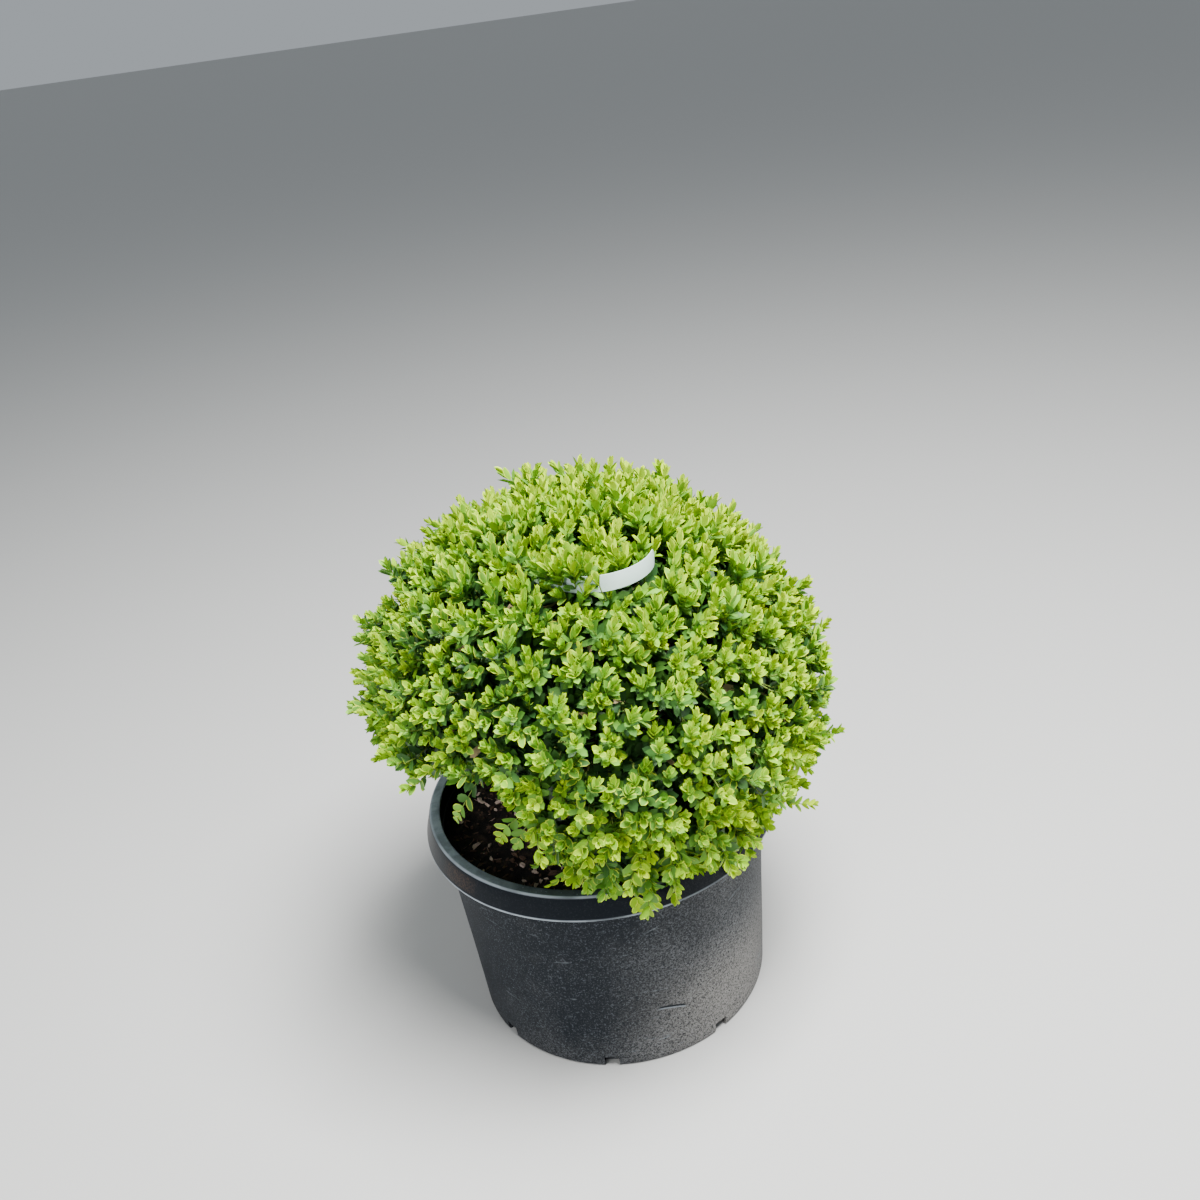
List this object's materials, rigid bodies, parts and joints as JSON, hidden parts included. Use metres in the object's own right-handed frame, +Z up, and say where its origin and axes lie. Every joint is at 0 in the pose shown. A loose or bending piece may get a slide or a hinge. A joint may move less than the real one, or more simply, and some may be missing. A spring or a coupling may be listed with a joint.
{
  "type": "potted box topiary ball",
  "caption": "Evergreen box shrub clipped to a squat leafy ball that leans over a round black nursery pot with a flared rim band.",
  "frame": {"origin": "centre of the pot's flat underside", "axes": "+Z up, -Y to the front of the pictured view, +X to its right"},
  "size_m": [0.4785, 0.476, 0.588],
  "materials": {
    "pot": "black moulded plastic with a bluish cast, smoother on the rim band, dusty lower down",
    "growing_mix": "dark moist bark and peat mix with pale bark chips",
    "bark": "greyish tan bark, fissured on the stem and greener on thin twigs",
    "foliage": "small leathery leaves, yellow-green at the tips and deeper green inside",
    "label": "blank white plastic strip"
  },
  "bodies": {
    "root": {"pot": "pot", "growing_mix": "growing_mix", "stem": "bark", "bough_top": "bark", "bough_front": "bark", "bough_front_right": "bark", "bough_back_right": "bark", "bough_back": "bark", "bough_back_left": "bark", "bough_front_left": "bark", "bough_low_front": "bark", "foliage_top": "foliage", "foliage_front": "foliage", "foliage_front_right": "foliage", "foliage_back_right": "foliage", "foliage_back": "foliage", "foliage_back_left": "foliage", "foliage_front_left": "foliage", "foliage_low_front": "foliage", "plant_label": "label"}
  },
  "joints": []
}
